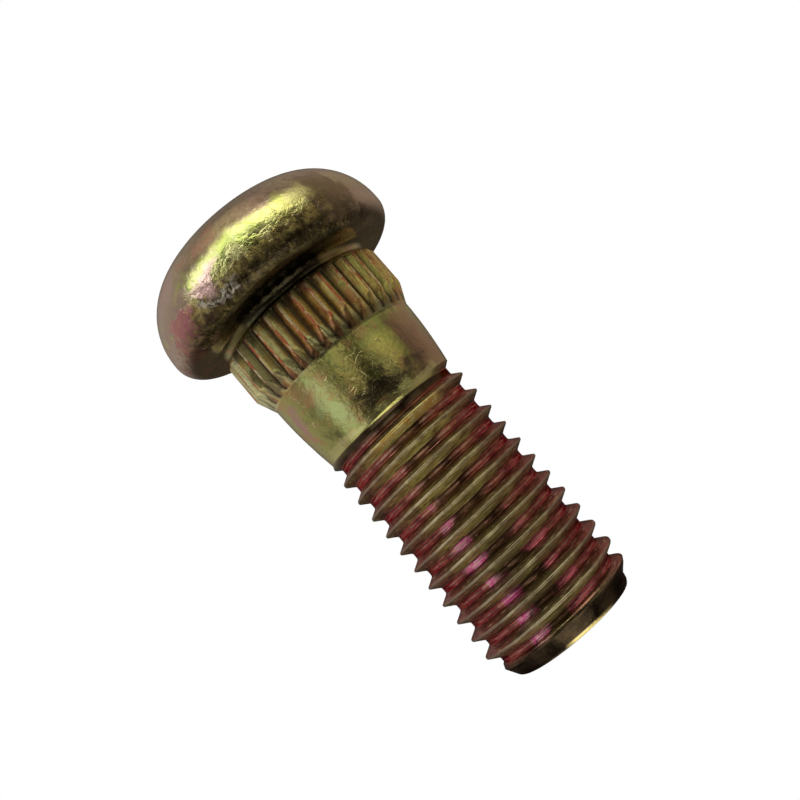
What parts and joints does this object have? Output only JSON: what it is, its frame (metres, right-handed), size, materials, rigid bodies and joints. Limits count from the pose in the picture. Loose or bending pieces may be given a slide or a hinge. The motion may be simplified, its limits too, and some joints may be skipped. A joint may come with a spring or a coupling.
{
  "type": "press-in wheel stud bolt",
  "caption": "Round-headed press-in stud bolt with a splined collar, a smooth tapering shoulder and a threaded shank, in yellow zinc-plated steel.",
  "frame": {"origin": "centre of the head's flat top face, on which the stud stands", "axes": "+Z along the shank, from the head to the tip; X and Y lie in the head's face and are alike"},
  "size_m": [0.0186, 0.0186, 0.0364],
  "materials": {
    "yellow_zinc_steel": "yellow zinc plating with red, green and violet interference colours"
  },
  "bodies": {
    "root": {"wheel_stud": "yellow_zinc_steel"}
  },
  "joints": []
}
